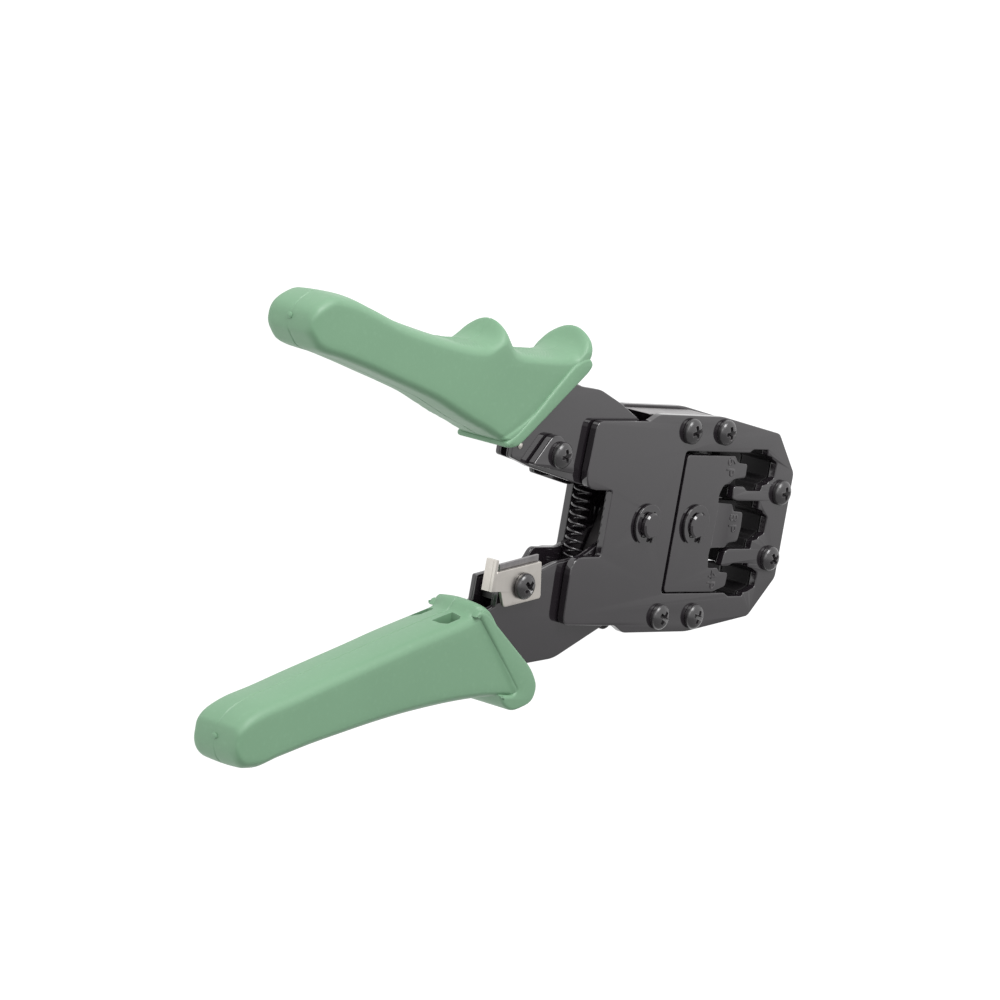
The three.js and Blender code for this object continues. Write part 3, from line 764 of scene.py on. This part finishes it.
def build_spring():
    low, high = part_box("return_spring")
    centre = (low + high) / 2
    radius = (high.x - low.x) / 2 - SPRING_WIRE
    reach = (high.y - low.y) / 2 - SPRING_WIRE
    curve = bpy.data.curves.new("wire", "CURVE")
    curve.dimensions = "3D"
    curve.bevel_depth = SPRING_WIRE
    curve.bevel_resolution = 3
    curve.use_fill_caps = True
    spline = curve.splines.new("POLY")
    steps = SPRING_COILS * TURN_STEPS
    spline.points.add(steps)
    tight = CLOSED_TURNS * 2.1 * SPRING_WIRE
    open_turns = SPRING_COILS - 2 * CLOSED_TURNS
    for i in range(steps + 1):
        turn = SPRING_COILS * i / steps
        if turn < CLOSED_TURNS:
            along = tight * turn / CLOSED_TURNS
        elif turn > SPRING_COILS - CLOSED_TURNS:
            along = 2 * reach - tight * (SPRING_COILS - turn) / CLOSED_TURNS
        else:
            along = tight + (2 * reach - 2 * tight) * (turn - CLOSED_TURNS) / open_turns
        angle = 2 * math.pi * turn
        spline.points[i].co = (centre.x + radius * math.cos(angle), centre.y - reach + along,
                               centre.z + radius * math.sin(angle), 1)
    carrier = bpy.data.objects.new("wire", curve)
    mesh = bpy.data.meshes.new_from_object(carrier)
    bpy.data.objects.remove(carrier)
    spring = show("return_spring_wire", mesh, "black_steel", "return_spring", weighted=False)
    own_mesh(spring)


# ---------------------------------------------------------------- grips
GRIP_EDGE = 1.9  # rounding of the four long edges
SEAM_DEPTH = 0.24
SEAM_HALF = 0.22
RIB_PITCH = 1.2
RIB_HEIGHT = 0.24
RIB_SLANT = 0.75
ACROSS = 15  # sections of half the top face
RIB_EDGE = 0.8  # share of the half width where the ribs end
# Each station: top middle x, y; top side x, y; bottom x, y; bow of the section towards the head; how much
# the bottom's edges rise; half thickness.
UPPER_STATIONS = (
    (-130.6, 43.3, -130.6, 43.3, -130.6, 41.3, 0, 0, 5.3),
    (-130.4, 44.4, -130.4, 44.4, -130.4, 40.6, 0, 0, 6.1),
    (-129.8, 45.6, -129.8, 45.5, -129.8, 39.8, 0, 0, 6.6),
    (-128.7, 46.7, -128.7, 46.5, -128.7, 38.7, 0, 0.1, 6.9),
    (-126.7, 48.0, -126.7, 47.6, -127.2, 37.3, 0, 0.2, 7),
    (-123.4, 49.2, -123.4, 48.6, -124.5, 36.3, 0, 0.3, 7),
    (-118.2, 48.9, -118.2, 48.0, -118.5, 35.3, 0, 0.3, 7),
    (-109.4, 46.8, -109.4, 45.8, -109.4, 33.3, 0, 0.3, 7),
    (-100.8, 44.4, -100.8, 43.4, -100.8, 31.2, 0, 0.3, 7),
    (-92.2, 42.7, -92.2, 41.7, -92.2, 29.1, 0, 0.3, 7),
    (-84.0, 41.3, -84.0, 40.4, -84.0, 26.9, 0, 0.3, 7),
    (-79.2, 40.6, -79.2, 39.8, -80.0, 25.5, 0, 0.3, 7),
    (-76.6, 40.4, -76.6, 39.5, -78.4, 24.9, 0, 0.3, 7),
    (-73.6, 40.3, -73.6, 39.3, -76.6, 24.3, 0, 0.3, 7),
    (-70.2, 40.4, -70.8, 39.3, -74.8, 23.6, 0, 0.3, 7),
    (-67.6, 40.9, -68.3, 39.8, -73.6, 23.2, 0, 0.3, 7),
    (-65.8, 42.0, -66.4, 40.8, -72.8, 22.9, 0, 0.3, 7),
    (-64.7, 43.5, -65.2, 41.4, -72.3, 22.7, 0, 0.3, 7),
    (-63.8, 45.1, -64.1, 41.8, -71.8, 22.6, 0, 0.3, 7),
    (-63.3, 45.6, -63.4, 41.8, -71.5, 22.5, 0, 0.3, 7),
    (-62.7, 45.2, -62.8, 41.4, -71.2, 22.4, 0, 0.3, 7),
    (-61.7, 43.8, -61.8, 40.6, -70.6, 22.2, 0, 0.3, 7),
    (-60.3, 41.9, -60.5, 39.5, -69.8, 22.0, 0, 0.3, 7),
    (-58.5, 40.3, -58.9, 38.7, -68.9, 21.7, 0, 0.3, 7),
    (-56.6, 39.5, -57.1, 38.3, -68.0, 21.4, 0, 0.3, 7),
    (-54.2, 39.1, -54.8, 38.1, -66.9, 21.1, 0.1, 0.3, 7),
    (-51.0, 39.0, -52.2, 38.0, -65.6, 20.7, 0.3, 0.3, 7),
    (-47.0, 38.9, -49.2, 37.9, -64.2, 20.2, 0.7, 0.3, 7),
    (-42.6, 39.0, -45.8, 37.9, -62.8, 19.7, 1.2, 0.3, 7),
    (-39.0, 39.3, -42.6, 37.9, -61.8, 19.4, 1.7, 0.3, 7),
    (-36.7, 40.1, -40.4, 37.9, -61.2, 19.2, 1.9, 0.3, 6.95),
    (-35.2, 41.2, -38.6, 38.1, -60.7, 19.1, 2.0, 0.2, 6.9),
    (-34.0, 42.7, -36.6, 39.0, -60.3, 19.0, 2.0, 0.1, 7),
    (-33.1, 44.4, -34.9, 40.6, -59.8, 18.9, 2.0, 0, 7.2),
    (-32.4, 45.1, -33.5, 41.2, -58.6, 18.6, 1.9, 0, 7.3),
    (-31.8, 44.9, -32.7, 40.9, -57.4, 18.4, 1.8, 0, 7.3),
    (-31.3, 44.2, -32.2, 40.2, -56.6, 18.8, 1.8, 0, 7.1),
    (-31.1, 43.2, -32.0, 39.2, -56.2, 19.6, 1.7, 0, 6.7),
)
LOWER_STATIONS = (
    (-132.0, -46.6, -132.0, -46.6, -132.0, -49.9, 0, 0, 5.3),
    (-131.8, -45.7, -131.8, -45.8, -131.8, -50.9, 0, 0, 6.1),
    (-131.2, -44.9, -131.2, -45.2, -131.2, -52.2, 0, 0, 6.6),
    (-130.0, -43.7, -130.0, -44.2, -130.1, -53.7, 0, 0.2, 6.9),
    (-127.8, -42.2, -127.8, -43.0, -128.0, -54.9, 0, 0.5, 7),
    (-124.5, -40.6, -124.5, -41.7, -124.8, -55.1, 0, 0.8, 7),
    (-117.0, -38.4, -117.0, -39.6, -117.2, -53.2, 0, 1, 7),
    (-107.0, -35.3, -107.0, -36.5, -107.0, -50.6, 0, 1, 7),
    (-97.0, -32.3, -97.0, -33.5, -97.0, -48.4, 0, 1, 7),
    (-87.0, -29.3, -87.0, -30.5, -87.0, -46.3, 0, 1, 7),
    (-79.0, -26.8, -79.0, -28.0, -77.0, -44.5, 0, 1, 7),
    (-72.0, -24.8, -72.0, -26.0, -65.0, -42.8, 0, 1, 7),
    (-67.0, -23.4, -66.6, -24.5, -56.0, -41.8, 0, 0.9, 7),
    (-63.0, -22.3, -62.2, -23.3, -48.0, -41.2, 0, 0.7, 7),
    (-60.4, -21.6, -58.8, -22.2, -41.0, -41.0, 0, 0.4, 6.95),
    (-59.6, -20.7, -57.6, -21.5, -39.0, -41.2, 0, 0.2, 7),
    (-58.7, -19.3, -57.2, -20.3, -37.0, -41.6, 0, 0, 7.3),
    (-57.6, -18.7, -56.4, -19.5, -35.2, -41.4, 0, 0, 7.3),
    (-56.2, -18.7, -55.2, -19.7, -34.0, -40.8, 0, 0, 7.3),
    (-55.0, -19.2, -54.2, -20.2, -33.4, -40.2, 0, 0, 7.1),
    (-54.4, -20.2, -53.6, -21.2, -33.4, -39.2, 0, 0, 6.6),
)
# Each flange is an outline of (x, y, rounding) corners.
UPPER_FLANGE = (
    (-58.9, 18.6, 0.4), (-58.7, 17.5, 0.5), (-56.6, 17.3, 1.2), (-53.9, 17.9, 2.5),
    (-33.1, 35.4, 1.5), (-31.9, 37.2, 1.0), (-33.2, 38.7, 1), (-35.4, 38.6, 1),
    (-38.8, 36.8, 1), (-44.1, 31.6, 1), (-49.8, 25.6, 2), (-55.5, 20.6, 1.5),
)
LOWER_FLANGE = (
    (-58.8, -21.9, 0.5), (-57.6, -20.1, 1.0), (-54.9, -20.7, 1.2), (-35.1, -34.0, 2.5),
    (-31.9, -38.2, 2), (-32.9, -42.2, 2.5), (-39.6, -44.2, 2.5), (-43.2, -42.8, 1.5),
    (-45.6, -40.0, 0.8), (-40.6, -40.3, 1), (-39.2, -39.2, 1), (-41.4, -37.0, 1),
    (-57.4, -21.7, 0.8),
)
FLANGE_HALF = 7.55
FLANGE_EDGE = 0.75
UPPER_RIBS = ((-81.0, -68.5), (-57.0, -41.5))
# Slots in the lower grip's top face, over the channel's two cheeks.
HOLE_X = (-67.4, -60.6)
HOLES_Z = ((9.3, 12.6), (1.9, 4.4))
HOLE_Y = (-33.5, -18.0)


def carried(stations, spacing):
    """Stations filled in between, each value on a smooth curve that never overshoots."""
    places = [0.0]
    for a, b in zip(stations, stations[1:]):
        along_top = math.hypot(b[0] - a[0], b[1] - a[1])
        along_bottom = math.hypot(b[4] - a[4], b[5] - a[5])
        places.append(places[-1] + max(along_top, 0.5 * along_bottom))
    spans = [b - a for a, b in zip(places, places[1:])]
    columns = []
    for values in zip(*stations):
        steep = [(b - a) / h for a, b, h in zip(values, values[1:], spans)]
        slopes = [steep[0]]
        for (d0, d1), (h0, h1) in zip(zip(steep, steep[1:]), zip(spans, spans[1:])):
            if d0 * d1 <= 0:
                slopes.append(0.0)
            else:
                w0, w1 = 2 * h1 + h0, h1 + 2 * h0
                slopes.append((w0 + w1) / (w0 / d0 + w1 / d1))
        slopes.append(steep[-1])
        columns.append((values, slopes))
    filled = []
    for i, span in enumerate(spans):
        parts = max(2, math.ceil(span / spacing(stations[i][0])))
        for part in range(parts + (i == len(spans) - 1)):
            t = part / parts
            rise = t * t * (3 - 2 * t)
            row = []
            for values, slopes in columns:
                row.append(values[i] * (1 - rise) + values[i + 1] * rise
                           + span * (slopes[i] * t * (1 - t) ** 2 - slopes[i + 1] * t * t * (1 - t)))
            filled.append(row)
    return filled


def half_ring(height, half):
    """(side share, height share) from the top middle round one side to the bottom middle."""
    edge = min(GRIP_EDGE, 0.45 * height, 0.8 * half)
    level = 1 - edge / half
    first = SEAM_HALF / half
    plain = level - 2 * first
    across = [0.0, first, 2 * first] + [2 * first + plain * i / ACROSS for i in range(1, ACROSS)]
    points = [(w, 1.0) for w in across]
    corner = [math.radians(90 * i / 7) for i in range(8)]
    flat, deep = edge / half, edge / height
    points += [(1 - (1 - math.sin(a)) * flat, 1 - (1 - math.cos(a)) * deep) for a in corner]
    low, high = deep, 1 - deep
    points += [(1.0, high + (low - high) * i / 9) for i in range(1, 9)]
    points += [(1 - (1 - math.cos(a)) * flat, (1 - math.sin(a)) * deep) for a in corner]
    points += [(share * level, 0.0) for share in (0.8, 0.6, 0.4, 0.2)]
    points += [(w, 0.0) for w in (2 * first, first, 0.0)]
    return points


def rib_at(along, share, half, ranges):
    """Height of the chevron ribs on the top face."""
    if not 0.07 < share < RIB_EDGE:
        return 0.0
    for start, end in ranges:
        inside = min(along - start, end - along)
        if inside > 0:
            phase = (along + RIB_SLANT * share * half) / RIB_PITCH
            fade = min(1.0, inside / 2.5, (RIB_EDGE - share) / 0.12)
            return RIB_HEIGHT * fade * (0.5 + 0.5 * math.cos(2 * math.pi * phase)) ** 1.5
    return 0.0


def grip_skin(stations, ranges=()):
    """The moulded body as one closed skin, from its blunt end to its collar."""

    def spacing(x):
        return 0.2 if any(a - 1 < x < b for a, b in ranges) else 1.2

    work = bmesh.new()
    rings = []
    for tx, ty, sx, sy, bx, by, bow, belly, half in carried(stations, spacing):
        top, side, bottom = Vector((tx, ty)), Vector((sx, sy)), Vector((bx, by))
        rise = top - bottom
        height = rise.length
        outward = Vector((rise.y, -rise.x)) / height
        profile = half_ring(height, half)
        last = len(profile) - 1
        ring = []
        for i, turned in [(i, 1) for i in range(last)] + [(i, -1) for i in range(last, 0, -1)]:
            w, v = profile[i]
            at = bottom + rise * v + (side - top) * (w * w * v) + outward * (bow * 4 * v * (1 - v))
            at.y += belly * w * w * (1 - v)
            if w == 0:
                at += rise.normalized() * (SEAM_DEPTH if v < 0.5 else -SEAM_DEPTH)
            elif v == 1.0:
                at += rise.normalized() * rib_at(tx, w, half, ranges)
            ring.append(work.verts.new((at.x * MM, at.y * MM, MID_Z + turned * w * half * MM)))
        rings.append(ring)
    count = len(rings[0])
    for first, second in zip(rings, rings[1:]):
        for i in range(count):
            k = (i + 1) % count
            work.faces.new((first[i], first[k], second[k], second[i]))
    work.faces.new(reversed(rings[0]))
    work.faces.new(rings[-1])
    bmesh.ops.recalc_face_normals(work, faces=work.faces)
    mesh = bpy.data.meshes.new("grip")
    work.to_mesh(mesh)
    work.free()
    return mesh


def flange(corners):
    half = FLANGE_HALF * MM
    return slab([rounded(corners)], MID_Z - half, MID_Z + half, FLANGE_EDGE * MM, 3)


def gate_mark(x, y):
    """The small nub that the mould's gate leaves on the seam."""
    profile = [(0, -0.5), (0.75, -0.5), (0.7, 0.35), (0.45, 0.5), (0, 0.5)]
    mesh = spun([(r * MM, z * MM) for r, z in profile], 20)
    mesh.transform(Matrix.Translation((x * MM, y * MM, MID_Z)) @ Matrix.Rotation(math.radians(-78), 4, "Y"))
    return mesh


def build_grips():
    upper = joined("upper_grip_moulding", [
        grip_skin(UPPER_STATIONS, UPPER_RIBS), flange(UPPER_FLANGE), gate_mark(-130.6, 43.4)])
    show("upper_grip_moulding", upper, "green_grip", "upper_grip", weighted=False)
    skin = grip_skin(LOWER_STATIONS)
    for low, high in HOLES_Z:
        around = [(HOLE_X[0], low), (HOLE_X[1], low), (HOLE_X[1], high - 0.6), (HOLE_X[1] - 1.2, high),
                  (HOLE_X[0] + 1.8, high), (HOLE_X[0] + 0.5, high - 1.1)]
        skin = less(skin, prism([(x, z * MM) for x, z in around], *HOLE_Y))
    lower = joined("lower_grip_moulding", [skin, flange(LOWER_FLANGE), gate_mark(-132.0, -48.6)])
    show("lower_grip_moulding", lower, "green_grip", "lower_grip", weighted=False)


RIVET = (-49.8, 17.4)


def build_rivet():
    """The bright end of the small rivet beside the upper grip's collar."""
    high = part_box("upper_handle")[1].z
    profile = [(0, -0.3), (0.8, -0.3), (0.8, 0.15), (0.6, 0.4), (0, 0.5)]
    mesh = spun([(r * MM, z * MM) for r, z in profile], 24)
    mesh.transform(Matrix.Translation((RIVET[0] * MM, RIVET[1] * MM, high)))
    for face in mesh.polygons:
        face.use_smooth = True
    mesh.materials.append(SILVER)
    rivet = bpy.data.objects.new("upper_grip_rivet", mesh)
    bpy.context.scene.collection.objects.link(rivet)
    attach(rivet, body_of("upper_handle"))


# ---------------------------------------------------------------- assembly
def dress_cad_nodes():
    """Any CAD node that is still shown gets its finish."""
    for name, node in NODES.items():
        if node.hide_render:
            continue
        for i in range(len(node.material_slots)):
            node.material_slots[i].material = GREEN if "grip" in name else DARK


make_camera()
light_the_scene()
make_floor()
build_sheets()
build_slide_face()
build_fasteners()
build_spring()
build_grips()
build_rivet()
dress_cad_nodes()
